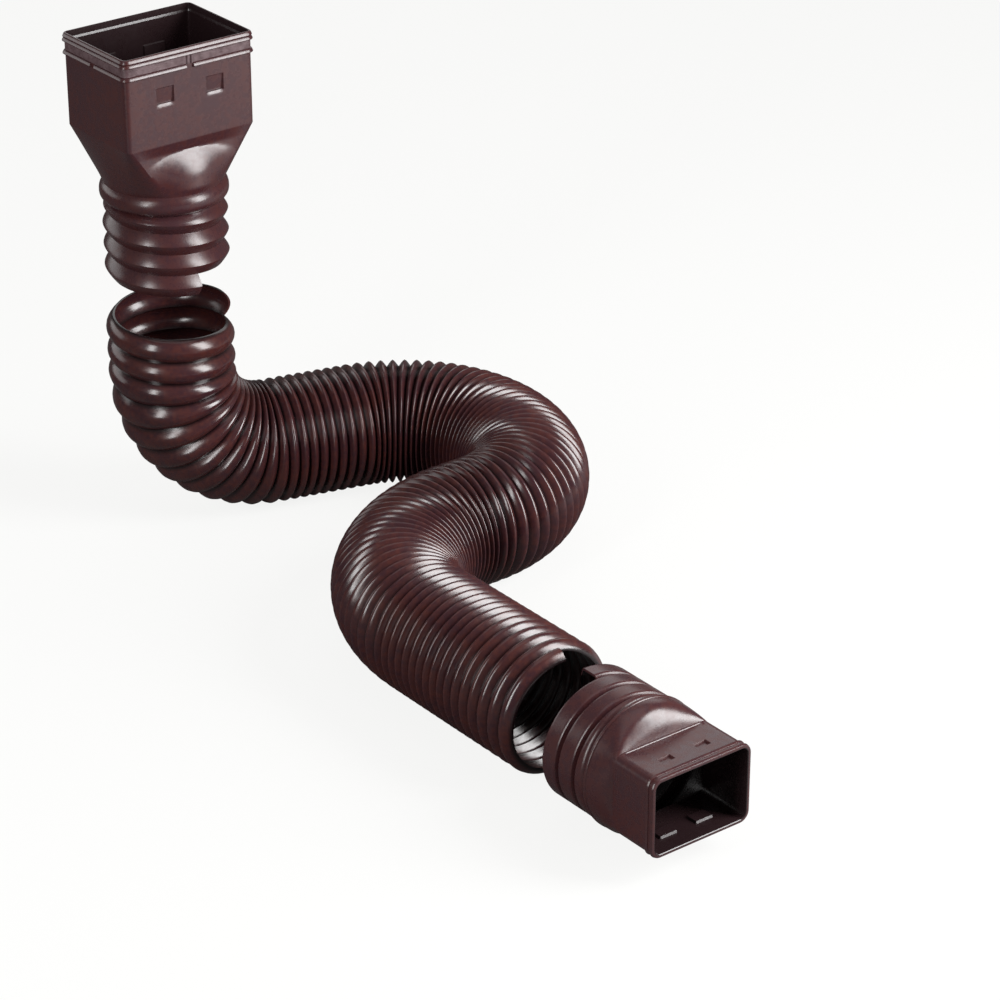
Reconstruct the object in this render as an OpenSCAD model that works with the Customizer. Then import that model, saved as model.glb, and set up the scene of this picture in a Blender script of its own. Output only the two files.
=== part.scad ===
// Flexible downspout extension: a screw-in socket adapter, a helically
// corrugated hose bent in an S, and a screw-in outlet adapter.
// Lengths are in millimetres and angles in degrees.

/* [Hose] */
// Outside diameter over the ridges
hose_od = 98; // [86:1:110]
// Depth from the ridges to the grooves
ridge_depth = 5.2; // [4:0.1:6.5]
// Wall of the hose, measured along the radius
hose_wall = 1.6; // [1.2:0.1:2]
// Ridge spacing where the hose is pushed together
run_pitch = 7.8; // [7:0.1:11]
// Ridge spacing at the upper mouth, where the hose is pulled open
top_pitch = 20; // [14:0.5:24]
// Length of hose over which the upper end closes up
top_stretch = 190; // [120:5:240]
// Ridge spacing at the lower mouth
low_pitch = 13.5; // [12:0.5:18]
// Length of hose over which the lower end opens up
low_stretch = 75; // [40:5:140]
// Turning angle of the step in both mouths
mouth_step = 90; // [0:1:359]

/* [Route] */
// Straight drop below the upper mouth
drop_len = 56; // [30:1:120]
// Centreline radius of the bend from the drop to the ground
drop_bend_r = 74; // [66:1:120]
// Heading of the first run, measured from the wall
run_heading = -15; // [-40:1:0]
// Length of the first run
run_len = 72; // [40:1:200]
// Centreline radius of the U-turn
u_bend_r = 95; // [80:1:140]
// Length of the stretch that runs back along the wall
back_len = 16; // [0:1:80]
// Centreline radius of the quarter turn away from the wall
out_bend_r = 112; // [80:1:160]
// Length of the last run, up to the lower mouth
last_len = 150; // [100:1:300]

/* [Thread] */
// Thread spacing of both adapters
thread_pitch = 16.5; // [12:0.5:20]
// Gap all round between an adapter's thread and the hose
thread_clear = 1; // [0.6:0.1:1.5]
// Distance that each adapter stands unscrewed from the hose
screw_gap = 19; // [10:1:60]
// Wall of both adapters
adapter_wall = 2; // [1.6:0.1:2.6]

/* [Upper adapter] */
// Inside width of the socket, along the wall
socket_w = 105; // [95:1:120]
// Inside depth of the socket, away from the wall
socket_d = 78; // [70:1:90]
// Height of the straight part of the socket
socket_h = 70; // [60:1:100]
// Outside corner radius of the socket
socket_corner = 4; // [3:0.5:8]
// Height of the funnel between the socket and the bead
funnel_h = 41.5; // [30:0.5:60]
// Height of the bead
bead_h = 16; // [12:0.5:20]
// How far the bead stands out past the thread
bead_proud = 1.3; // [0.6:0.1:3]
// Step from the bead in to the neck of the funnel
neck_step = 3.1; // [2:0.1:4]
// Height of the threaded end, from the bead to its tip
upper_thread_h = 64.5; // [50:0.5:90]
// Turning angle of the step in the threaded end
upper_step = -90; // [-180:1:180]

/* [Lower adapter] */
// Inside width of the outlet
outlet_w = 77; // [70:1:84]
// Inside height of the outlet
outlet_d = 53; // [48:1:60]
// Length of the straight part of the outlet
outlet_h = 40; // [34:1:60]
// Outside corner radius of the outlet
outlet_corner = 7; // [4:0.5:9]
// Length of the domed shoulder
dome_h = 19; // [14:0.5:30]
// Length of the round collar behind the dome
collar_h = 4; // [4:0.5:10]
// Length of the threaded end, from the collar to its tip
lower_thread_h = 56.5; // [44:0.5:80]
// Turning angle of the step in the threaded end
lower_step = 93; // [-180:1:180]

/* [Rim and dimples] */
// How far the ribs of the socket's rim stand out
rim_proud = 2; // [1:0.1:3]
// Height of the plain lip above the upper rib
lip_h = 3.2; // [2:0.1:5]
// Height of each rib of the rim
rim_rib_h = 3.2; // [2:0.1:4]
// Height of the flat band between the two ribs
band_h = 6.4; // [5:0.1:9]
// Depth that the mouth of the socket is eased by
mouth_ease = 0.8; // [0.4:0.1:1]
// How far the ribs of the outlet stand out
outlet_proud = 1; // [0.6:0.1:2]
// Width of each rib of the outlet
outlet_rib_h = 2.4; // [1.8:0.1:3]
// Depth of the square dimples
dimple_depth = 1.6; // [1:0.1:2]
// Width of a dimple in the socket
dimple_w = 15; // [10:0.5:20]
// Height of a dimple in the socket
dimple_h = 14; // [10:0.5:18]
// Distance from the middle of the socket to each dimple
dimple_x = 21.2; // [14:0.1:28]
// Distance from the rim down to the middle of the dimples
dimple_down = 33; // [28:0.5:44]
// Width of a dimple in the outlet
small_dimple_w = 11; // [8:0.5:14]
// Length of a dimple in the outlet
small_dimple_h = 6; // [4:0.5:8]
// Distance from the middle of the outlet to each dimple
small_dimple_x = 15; // [11:0.1:18]
// Distance from the outlet's edge to the middle of the dimples
small_dimple_in = 18.5; // [14:0.5:24]

/* [Hidden] */
BROWN = "#4a3133";

// Facets round the hose, round an adapter's thread and round a funnel
HOSE_SEG = 14;
THREAD_SEG = 20;
LOFT_QUARTER = 6;
// Fraction of the loft's length at each of its rings
LOFT_STEPS = [0, 0.3, 0.55, 0.75, 0.9, 1];
// Depth that one solid reaches into the next where they are joined
WELD = 1;
$fn = 64;

// Radii of the corrugation and of the thread that screws into it
crest_r = hose_od / 2;
root_r = crest_r - ridge_depth;
thread_crest_r = crest_r - hose_wall - thread_clear;
thread_root_r = root_r - hose_wall - thread_clear;
bead_r = thread_crest_r + bead_proud;
neck_r = bead_r - neck_step;
// Bore of both collars, a little inside the flats of the thread's inner face
collar_bore = (thread_root_r - adapter_wall) * cos(180 / THREAD_SEG) - 0.3;

// Headings of the three runs: the hose comes back along the wall and
// then leaves it square
back_heading = -180;
out_heading = -90;
u_angle = run_heading - back_heading;
out_angle = out_heading - back_heading;

function heading(a) = [cos(a), sin(a)];
function arc_len(r, a) = PI * r * a / 180;

// Distances along the hose at which its stretches end
drop_end = drop_len;
bend_end = drop_end + arc_len(drop_bend_r, 90);
run_end = bend_end + run_len;
u_end = run_end + arc_len(u_bend_r, u_angle);
back_end = u_end + back_len;
out_end = back_end + arc_len(out_bend_r, out_angle);
hose_len = out_end + last_len;

// Places in plan where the stretches start, from the socket's axis
run_at = drop_bend_r * heading(run_heading);
u_at = run_at + run_len * heading(run_heading);
u_mid = u_at + u_bend_r * heading(run_heading - 90);
back_at = u_mid + u_bend_r * heading(back_heading + 90);
out_at = back_at + back_len * heading(back_heading);
out_mid = out_at + out_bend_r * heading(back_heading + 90);
last_at = out_mid + out_bend_r * heading(out_heading - 90);
mouth_at = last_at + last_len * heading(out_heading);

// Heights of the upper mouth and of the upper adapter's parts
mouth_z = crest_r + drop_bend_r + drop_len;
upper_tip_z = mouth_z + screw_gap;
upper_len = upper_thread_h + bead_h + funnel_h + socket_h;
lower_len = lower_thread_h + collar_h + dome_h + outlet_h;

// The origin is under the middle of the whole object's box
socket_out_x = socket_w / 2 + adapter_wall + rim_proud;
socket_out_y = socket_d / 2 + adapter_wall + rim_proud;
reach_x = max(crest_r, socket_out_x);
low_x = min(-reach_x, last_at.x - crest_r);
high_x = max(u_mid.x + u_bend_r + crest_r, reach_x);
low_y = mouth_at.y - screw_gap - lower_len;
high_y = max(crest_r, socket_out_y);
box_mid = [(low_x + high_x) / 2, (low_y + high_y) / 2, 0];

// Place on the centreline at distance s: the point, its heading and how
// steeply it goes down
function along(s) =
    s < drop_end ? [[0, 0, mouth_z - s], run_heading, 90] :
    s < bend_end ?
        let (a = (s - drop_end) / drop_bend_r * 180 / PI)
        [concat(drop_bend_r * (1 - cos(a)) * heading(run_heading),
                [crest_r + drop_bend_r * (1 - sin(a))]), run_heading, 90 - a] :
    s < run_end ? level(run_at + (s - bend_end) * heading(run_heading), run_heading) :
    s < u_end ?
        let (h = run_heading - (s - run_end) / u_bend_r * 180 / PI)
        level(u_mid + u_bend_r * heading(h + 90), h) :
    s < back_end ? level(back_at + (s - u_end) * heading(back_heading), back_heading) :
    s < out_end ?
        let (h = back_heading + (s - back_end) / out_bend_r * 180 / PI)
        level(out_mid + out_bend_r * heading(h - 90), h) :
    level(last_at + (s - out_end) * heading(out_heading), out_heading);

function level(p, h) = [[p.x, p.y, crest_r], h, 0];

// Point of the hose at distance s, turned by a about the centreline
function on_hose(s, a, r) =
    let (c = along(s), h = c[1], d = c[2])
    let (side = [-sin(h), cos(h), 0])
    let (up = [cos(h) * sin(d), sin(h) * sin(d), cos(d)])
    c[0] + r * (cos(a) * side + sin(a) * up);

// Distance along the hose after t turns. The ridge spacing grows evenly
// towards both mouths, so its turns follow an exponential there
top_rate = (run_pitch - top_pitch) / top_stretch;
low_rate = (low_pitch - run_pitch) / low_stretch;
top_turns = ln(run_pitch / top_pitch) / top_rate;
low_turns = ln(low_pitch / run_pitch) / low_rate;
mid_len = hose_len - top_stretch - low_stretch;
mid_turns = mid_len / run_pitch;
all_turns = top_turns + mid_turns + low_turns;
// The hose is cut to whole turns, so the steps of both mouths line up
whole_turns = round(all_turns);

function turned(n) =
    let (t = n * all_turns / whole_turns)
    t < top_turns ? top_pitch / top_rate * (exp(top_rate * t) - 1) :
    t < top_turns + mid_turns ? top_stretch + (t - top_turns) * run_pitch :
    hose_len - low_stretch
        + run_pitch / low_rate * (exp(low_rate * (t - top_turns - mid_turns)) - 1);

// Thin tube whose wall winds round as one left-handed ridge. Each end is
// cut along the groove, so it closes with one step. place(m, t, k, side)
// gives the point k of the profile at station m, t turns from the start,
// on the outer (0) or inner (1) side
module wound_tube(last, seg, steps, place) {
    count = (last + 1) * steps + seg;
    function id(m, k) =
        k == steps ? id(m + seg, 0) :
        m <= last ? m * steps + k :
        (last + 1) * steps + m - last - 1;
    function side(i) = concat(
        [for (m = [0:last], k = [0:steps - 1]) place(m, m / seg + k / steps, k, i)],
        [for (m = [last + 1:last + seg]) place(m, m / seg, 0, i)]);
    function quad(a, b, c, d) = [[a, b, c], [a, c, d]];
    walls = [for (m = [0:last - 1], k = [0:steps - 1])
        let (a = id(m, k), b = id(m + 1, k), c = id(m + 1, k + 1), d = id(m, k + 1))
        each concat(quad(a, b, c, d), quad(d + count, c + count, b + count, a + count))];
    start_edge = [for (m = [0:seg - 1])
        let (a = id(m, 0), b = id(m + 1, 0))
        each quad(a, a + count, b + count, b)];
    end_edge = [for (m = [last:last + seg - 1])
        let (a = id(m, 0), b = id(m + 1, 0))
        each quad(a, b, b + count, a + count)];
    start_step = [for (k = [0:steps - 1])
        let (a = id(0, k), b = id(0, k + 1))
        each quad(a + count, a, b, b + count)];
    end_step = [for (k = [0:steps - 1])
        let (a = id(last, k), b = id(last, k + 1))
        each quad(a + count, b + count, b, a)];
    polyhedron(concat(side(0), side(1)),
        concat(walls, start_edge, end_edge, start_step, end_step), convexity = 10);
}

// Outline of a rounded rectangle, counter-clockwise from the middle of
// its right side, with as many points as the round end of a funnel
function quarter(w, d, c) = [
    [w / 2, 0], [w / 2, (d / 2 - c) / 2], [w / 2, d / 2 - c],
    [w / 2 - c * (1 - cos(45)), d / 2 - c * (1 - sin(45))],
    [w / 2 - c, d / 2], [(w / 2 - c) / 2, d / 2]];
function outline(w, d, c) = concat(
    quarter(w, d, c),
    [for (p = quarter(d, w, c)) [-p.y, p.x]],
    [for (p = quarter(w, d, c)) -p],
    [for (p = quarter(d, w, c)) [p.y, -p.x]]);

// Share of the way from the round end to the rectangle at fraction v of
// a funnel: straight at round = 0, a quarter ellipse at round near 1
function swell(v, round) =
    round == 0 ? v :
    (1 - sqrt(1 - pow(round * v, 2))) / (1 - sqrt(1 - pow(round, 2)));

// One ring of a funnel from a circle of radius r to a rectangle
function ring(r, w, d, c, z, f) =
    let (box = outline(w, d, c), n = len(box))
    [for (i = [0:n - 1])
        let (p = (1 - f) * r * heading(i * 360 / n) + f * box[i])
        [p.x, p.y, z]];

// Thin funnel from a round neck at height 0 to a rectangle at height h
module funnel(r, w, d, c, h, round, drop) {
    n = 4 * LOFT_QUARTER;
    t = adapter_wall;
    outer = [for (v = LOFT_STEPS)
        ring(r, w, d, c, v == 0 ? -WELD : h * v, swell(v, round))];
    inner = [for (v = LOFT_STEPS)
        ring(r - t, w - 2 * t, d - 2 * t, c - t,
            v == 0 ? -WELD : (h - drop) * v, swell(v, round))];
    last = [ring(r - t, w - 2 * t, d - 2 * t, c - t, h, 1)];
    back = drop > 0 ? concat(inner, last) : inner;
    skin = concat(outer, [for (i = [len(back) - 1:-1:0]) back[i]]);
    rows = len(skin);
    points = [for (row = skin) each row];
    faces = [for (j = [0:rows - 1], i = [0:n - 1])
        let (a = j * n + i, b = j * n + (i + 1) % n)
        let (c = ((j + 1) % rows) * n + (i + 1) % n, d = ((j + 1) % rows) * n + i)
        each [[a, d, c], [a, c, b]]];
    polyhedron(points, faces, convexity = 6);
}

// Hollow round collar with rounded outer corners, open at both ends
module collar(r, h, corner, low_bore, high_bore) {
    t = adapter_wall;
    rotate_extrude()
    difference() {
        rounded_step(r, h, corner);
        square([low_bore, h]);
        translate([0, t]) square([high_bore, h]);
        if (corner > t) translate([0, t]) rounded_step(r - t, h - 2 * t, corner - t);
    }
}

module rounded_step(r, h, c) {
    square([r - c, h]);
    translate([0, c]) square([r, h - 2 * c]);
    for (y = [c, h - c]) translate([r - c, y]) circle(c);
}

// Threaded end, with its tip at height 0 and cut off level at height h.
// The thread is left-handed and ends in one step at the angle given
module threaded_end(h, step_angle) {
    turns = ceil((h / thread_pitch + 0.3) * THREAD_SEG) / THREAD_SEG;
    last = turns * THREAD_SEG;
    depth = [0, 0.78, 1, 0.78];
    intersection() {
        wound_tube(last, THREAD_SEG, len(depth), function(m, t, k, i)
            let (r = thread_root_r - i * adapter_wall
                + (thread_crest_r - thread_root_r) * depth[k])
            let (a = step_angle + (m - last) * 360 / THREAD_SEG)
            [r * cos(a), r * sin(a), (turns + 1 - t) * thread_pitch]);
        translate([0, 0, -1]) cylinder(r = bead_r + 5, h = h + 1);
    }
}

// Straight rectangular part of an adapter, open at both ends
module box_wall(w, d, c, h) {
    t = adapter_wall;
    linear_extrude(h)
    difference() {
        polygon(outline(w + 2 * t, d + 2 * t, c));
        polygon(outline(w, d, c - t));
    }
}

// Rib round a rectangular part, from its wall's middle outwards
module box_rib(w, d, c, proud, h) {
    t = adapter_wall;
    linear_extrude(h)
    difference() {
        polygon(outline(w + 2 * (t + proud), d + 2 * (t + proud), c + proud));
        polygon(outline(w + t, d + t, c - t / 2));
    }
}

// Square dimple pressed into the wall at y = face, as the space outside
// the wall and as the pad that it raises inside
module dimple_space(face, x, z, w, h) {
    for (s = [-1, 1], side = [-1, 1])
        translate([s * x - w / 2, side > 0 ? face - dimple_depth : -face - 1, z - h / 2])
            cube([w, dimple_depth + 1, h]);
}

module dimple_pad(face, x, z, w, h) {
    t = adapter_wall;
    deep = dimple_depth + t;
    for (s = [-1, 1], side = [-1, 1])
        translate([s * x - w / 2 - t / 2, side > 0 ? face - deep : -face + t / 2,
                z - h / 2 - t / 2])
            cube([w + t, deep - t / 2, h + t]);
}

module upper_adapter() {
    t = adapter_wall;
    funnel_z = upper_thread_h + bead_h;
    socket_z = funnel_z + funnel_h;
    face = socket_d / 2 + t;
    rib_z = upper_len - lip_h - rim_rib_h;
    low_rib_z = rib_z - band_h - rim_rib_h;
    color(BROWN)
    translate([0, 0, upper_tip_z] - box_mid)
    difference() {
        union() {
            threaded_end(upper_thread_h + WELD, upper_step);
            translate([0, 0, upper_thread_h])
                collar(bead_r, bead_h, 5, collar_bore, neck_r - t - WELD);
            translate([0, 0, funnel_z])
                funnel(neck_r, socket_w + 2 * t, socket_d + 2 * t, socket_corner, funnel_h, 0, 0);
            translate([0, 0, socket_z]) box_wall(socket_w, socket_d, socket_corner, socket_h);
            for (z = [rib_z, low_rib_z]) translate([0, 0, z])
                box_rib(socket_w, socket_d, socket_corner, rim_proud, rim_rib_h);
            dimple_pad(face, dimple_x, upper_len - dimple_down, dimple_w, dimple_h);
        }
        translate([0, 0, rib_z]) linear_extrude(upper_len)
            polygon(outline(socket_w + 2 * mouth_ease, socket_d + 2 * mouth_ease,
                socket_corner - t + mouth_ease));
        dimple_space(face, dimple_x, upper_len - dimple_down, dimple_w, dimple_h);
        rim_notches(low_rib_z);
    }
}

// Gaps in the middle of each side of the rim's lower rib
module rim_notches(z) {
    t = adapter_wall;
    long_gap = 5;
    short_gap = 4;
    for (s = [-1, 1]) {
        translate([-long_gap / 2, s > 0 ? socket_d / 2 + t : -socket_out_y - 1, z - 1])
            cube([long_gap, rim_proud + 1, rim_rib_h + 2]);
        translate([s > 0 ? socket_w / 2 + t : -socket_out_x - 1, -short_gap / 2, z - 1])
            cube([rim_proud + 1, short_gap, rim_rib_h + 2]);
    }
}

module corrugated_hose() {
    color(BROWN)
    translate(-box_mid)
    wound_tube((whole_turns - 1) * HOSE_SEG, HOSE_SEG, 2, function(m, t, k, i)
        on_hose(turned(t), mouth_step - m * 360 / HOSE_SEG,
            root_r + k * ridge_depth - i * hose_wall));
}

module lower_adapter() {
    t = adapter_wall;
    dome_z = lower_thread_h + collar_h;
    outlet_z = dome_z + dome_h;
    dome_r = bead_r - 0.4;
    face = outlet_d / 2 + t;
    color(BROWN)
    translate([last_at.x, mouth_at.y - screw_gap, crest_r] - box_mid)
    rotate([90, 0, 0])
    difference() {
        union() {
            threaded_end(lower_thread_h + WELD, lower_step);
            translate([0, 0, lower_thread_h])
                collar(bead_r, collar_h, 1, collar_bore, bead_r - t);
            translate([0, 0, dome_z])
                funnel(dome_r, outlet_w + 2 * t, outlet_d + 2 * t, outlet_corner, dome_h, 0.97, t);
            translate([0, 0, outlet_z]) box_wall(outlet_w, outlet_d, outlet_corner, outlet_h);
            for (i = [1, 3]) translate([0, 0, lower_len - i * outlet_rib_h])
                box_rib(outlet_w, outlet_d, outlet_corner, outlet_proud, outlet_rib_h);
            dimple_pad(face, small_dimple_x, lower_len - small_dimple_in,
                small_dimple_w, small_dimple_h);
        }
        dimple_space(face, small_dimple_x, lower_len - small_dimple_in,
            small_dimple_w, small_dimple_h);
    }
}

upper_adapter();
corrugated_hose();
lower_adapter();
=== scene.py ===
"""Flexible downspout extension: a corrugated hose and its two screw-in adapters."""

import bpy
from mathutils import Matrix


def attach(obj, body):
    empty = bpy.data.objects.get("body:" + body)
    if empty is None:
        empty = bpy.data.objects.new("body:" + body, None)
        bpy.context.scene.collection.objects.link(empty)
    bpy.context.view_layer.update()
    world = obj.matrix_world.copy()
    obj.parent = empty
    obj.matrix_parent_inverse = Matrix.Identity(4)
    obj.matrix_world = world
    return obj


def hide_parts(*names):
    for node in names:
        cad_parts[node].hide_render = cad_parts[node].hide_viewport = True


bl_info = {
    "name": "Flexible Downspout Extension",
    "version": (1, 0, 0),
    "blender": (4, 5, 0),
    "location": "View3D > Sidebar > Downspout",
    "description": "Builds a corrugated downspout hose with its screw-in adapters",
    "category": "Add Mesh",
}

import math

import bmesh
import bpy
from mathutils import Matrix, Vector

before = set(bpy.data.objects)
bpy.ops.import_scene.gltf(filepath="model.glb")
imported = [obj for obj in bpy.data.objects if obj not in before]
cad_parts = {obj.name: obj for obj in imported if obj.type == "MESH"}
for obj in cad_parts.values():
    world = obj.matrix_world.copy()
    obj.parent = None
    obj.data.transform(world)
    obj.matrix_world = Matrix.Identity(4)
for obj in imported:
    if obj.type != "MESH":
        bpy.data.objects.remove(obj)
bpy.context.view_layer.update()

MM = 0.001
TOUCH = 0.01 * MM  # Points that are closer than this are one
CREST_EASE = 1.15 * MM  # The part's own crests are flat between its facets
DIMPLE_EDGE = 1.2 * MM  # From a dimple's outline to where the flat side is plain
DIMPLE_GROWTH = 2 * MM  # How much further a dimple reaches on the inner face


# Colours and values

def linear(code):
    """Scene-linear red, green, blue and alpha of an sRGB hex colour."""
    parts = [int(code[i:i + 2], 16) / 255 for i in (1, 3, 5)]
    return tuple(p / 12.92 if p <= 0.04045 else ((p + 0.055) / 1.055) ** 2.4
                 for p in parts) + (1.0,)


def length(name, description, millimetres):
    """A length that a user may change, given here in millimetres."""
    return bpy.props.FloatProperty(
        name=name, description=description, default=millimetres * MM, min=0.0,
        precision=4, unit="LENGTH", subtype="DISTANCE")


def angle(name, description, degrees):
    """An angle that a user may change, given here in degrees."""
    return bpy.props.FloatProperty(
        name=name, description=description, default=math.radians(degrees),
        unit="ROTATION", subtype="ANGLE")


def colour(name, description, code):
    """A colour that a user may change, given here as an sRGB hex value."""
    return bpy.props.FloatVectorProperty(
        name=name, description=description, default=linear(code), size=4,
        min=0.0, max=1.0, subtype="COLOR")


def number(name, description, value, least, **limits):
    """A plain number that a user may change, whole where its value is whole."""
    kind = bpy.props.IntProperty if isinstance(value, int) else bpy.props.FloatProperty
    return kind(name=name, description=description, default=value, min=least, **limits)


class HoseSizes(bpy.types.PropertyGroup):
    """Section and ridge spacing of the hose."""
    diameter: length("Outside diameter", "Over the ridges", 98)
    ridge_depth: length("Ridge depth", "From the ridges to the grooves", 5.2)
    wall: length("Wall", "Wall of the hose along the radius", 1.6)
    run_pitch: length("Run pitch", "Ridge spacing where the hose is pushed together", 7.8)
    top_pitch: length("Top pitch", "Ridge spacing at the upper mouth", 20)
    top_stretch: length("Top stretch", "Length over which the upper end closes up", 190)
    low_pitch: length("Low pitch", "Ridge spacing at the lower mouth", 13.5)
    low_stretch: length("Low stretch", "Length over which the lower end opens up", 75)
    mouth_step: angle("Mouth step", "Turning angle of the step in both mouths", 90)
    ridge_round: number("Ridge rounding", "0 is a sharp crest, and more is a rounder one",
                        0.22, 0.01, max=4.0)
    facets: number("Facets", "Faces round one turn of the hose", 62, 12)
    ridge_rows: number("Ridge rows", "Faces from one groove to the next", 8, 4)


class RouteSizes(bpy.types.PropertyGroup):
    """The way that the hose takes from the wall to its lower mouth."""
    drop_len: length("Drop", "Straight drop below the upper mouth", 56)
    drop_bend_r: length("Drop bend", "Centreline radius of the bend to the ground", 74)
    run_heading: angle("Run heading", "Heading of the first run", -15)
    run_len: length("First run", "Length of the first run", 72)
    u_bend_r: length("U-turn", "Centreline radius of the U-turn", 95)
    back_len: length("Back run", "Length of the stretch back along the wall", 16)
    out_bend_r: length("Outward bend", "Centreline radius of the last bend", 112)
    last_len: length("Last run", "Length of the run to the lower mouth", 150)


class FitSizes(bpy.types.PropertyGroup):
    """What both adapters share."""
    thread_pitch: length("Thread pitch", "Thread spacing of both adapters", 16.5)
    clearance: length("Thread clearance", "Gap between thread and hose", 1)
    screw_gap: length("Screw gap", "Distance that each adapter stands unscrewed", 19)
    wall: length("Adapter wall", "Wall of both adapters", 2)
    bead_proud: length("Bead", "How far the bead stands out past the thread", 1.3)
    thread_facets: number("Thread facets", "Faces round one turn of a thread", 96, 24)
    thread_rows: number("Thread rows", "Faces from one thread groove to the next", 18, 6)


class SocketSizes(bpy.types.PropertyGroup):
    """The upper adapter, which takes the downspout."""
    width: length("Socket width", "Inside, along the wall", 105)
    depth: length("Socket depth", "Inside, away from the wall", 78)
    height: length("Socket height", "Straight part of the socket", 70)
    corner: length("Socket corner", "Outside corner radius", 4)
    funnel_h: length("Funnel", "Height of the funnel", 41.5)
    bead_h: length("Bead height", "Height of the bead", 16)
    neck_step: length("Neck step", "Step from the bead in to the neck", 3.1)
    thread_h: length("Upper thread", "Height of the threaded end", 64.5)
    step: angle("Upper step", "Turning angle of the step in the thread", -90)
    slope: length("Upper thread slope", "Run of each sloping side of the thread", 8.25)
    ridge_shape: number("Upper thread shape", "1 is a straight slope, more a rounder one",
                        1.25, 1.0, max=4.0)
    rim_proud: length("Rim ribs", "How far the ribs stand out", 2)
    lip_h: length("Lip", "Height of the lip above the upper rib", 3.2)
    rib_h: length("Rib height", "Height of each rib of the rim", 3.2)
    band_h: length("Band", "Height of the textured band between the ribs", 6.4)
    mouth_ease: length("Mouth ease", "Depth that the mouth is eased by", 0.8)
    dimple_depth: length("Dimple depth", "Depth of the square dimples", 1.6)
    dimple_w: length("Dimple width", "Width of a dimple", 15)
    dimple_h: length("Dimple height", "Height of a dimple", 14)
    dimple_x: length("Dimple place", "From the middle to each dimple", 21.2)
    dimple_down: length("Dimple drop", "From the rim down to the dimples", 33)


class OutletSizes(bpy.types.PropertyGroup):
    """The lower adapter, which ends in the outlet."""
    width: length("Outlet width", "Inside width", 77)
    depth: length("Outlet height", "Inside height", 53)
    height: length("Outlet length", "Straight part of the outlet", 40)
    corner: length("Outlet corner", "Outside corner radius", 7)
    dome_h: length("Dome", "Length of the domed shoulder", 19)
    collar_h: length("Collar", "Length of the round collar", 4)
    thread_h: length("Lower thread", "Length of the threaded end", 56.5)
    step: angle("Lower step", "Turning angle of the step in the thread", 93)
    slope: length("Lower thread slope", "Run of each sloping side of the thread", 2.2)
    ridge_shape: number("Lower thread shape", "1 is a straight slope, more a rounder one",
                        1.3, 1.0, max=4.0)
    rib_proud: length("Outlet ribs", "How far the ribs stand out", 1)
    rib_h: length("Outlet rib width", "Width of each rib", 2.4)
    dimple_depth: length("Outlet dimple depth", "Depth of the dimples", 1.6)
    dimple_w: length("Outlet dimple width", "Width of a dimple", 11)
    dimple_h: length("Outlet dimple length", "Length of a dimple", 6)
    dimple_x: length("Outlet dimple place", "From the middle to each dimple", 15)
    dimple_in: length("Outlet dimple inset", "From the edge to the dimples", 18.5)


class Finishes(bpy.types.PropertyGroup):
    """Colours of the mouldings and of the stage."""
    adapter: colour("Adapter brown", "Base colour of both adapters", "#3b2226")
    adapter_warm: colour("Adapter red-brown", "Warmer clouds in that colour", "#432120")
    # Painted shade: the adapters' inner faces take this darker colour, where shade falls inside
    # them
    inside: colour("Painted inner shade", "Colour of the adapters' shaded inner faces", "#26191b")
    band: colour("Band brown", "Base colour of the textured band", "#5d494c")
    hose: colour("Hose brown", "Base colour of the hose", "#351d21")
    hose_warm: colour("Hose red-brown", "Warmer clouds in that colour", "#45221f")
    # Painted shade: the hose's colour turns to this one down in its grooves, where shade falls
    groove: colour("Painted groove shade", "Colour down in the grooves of the hose", "#150a0c")
    floor: colour("Floor", "The pale studio floor", "#fbfbfa")


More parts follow.
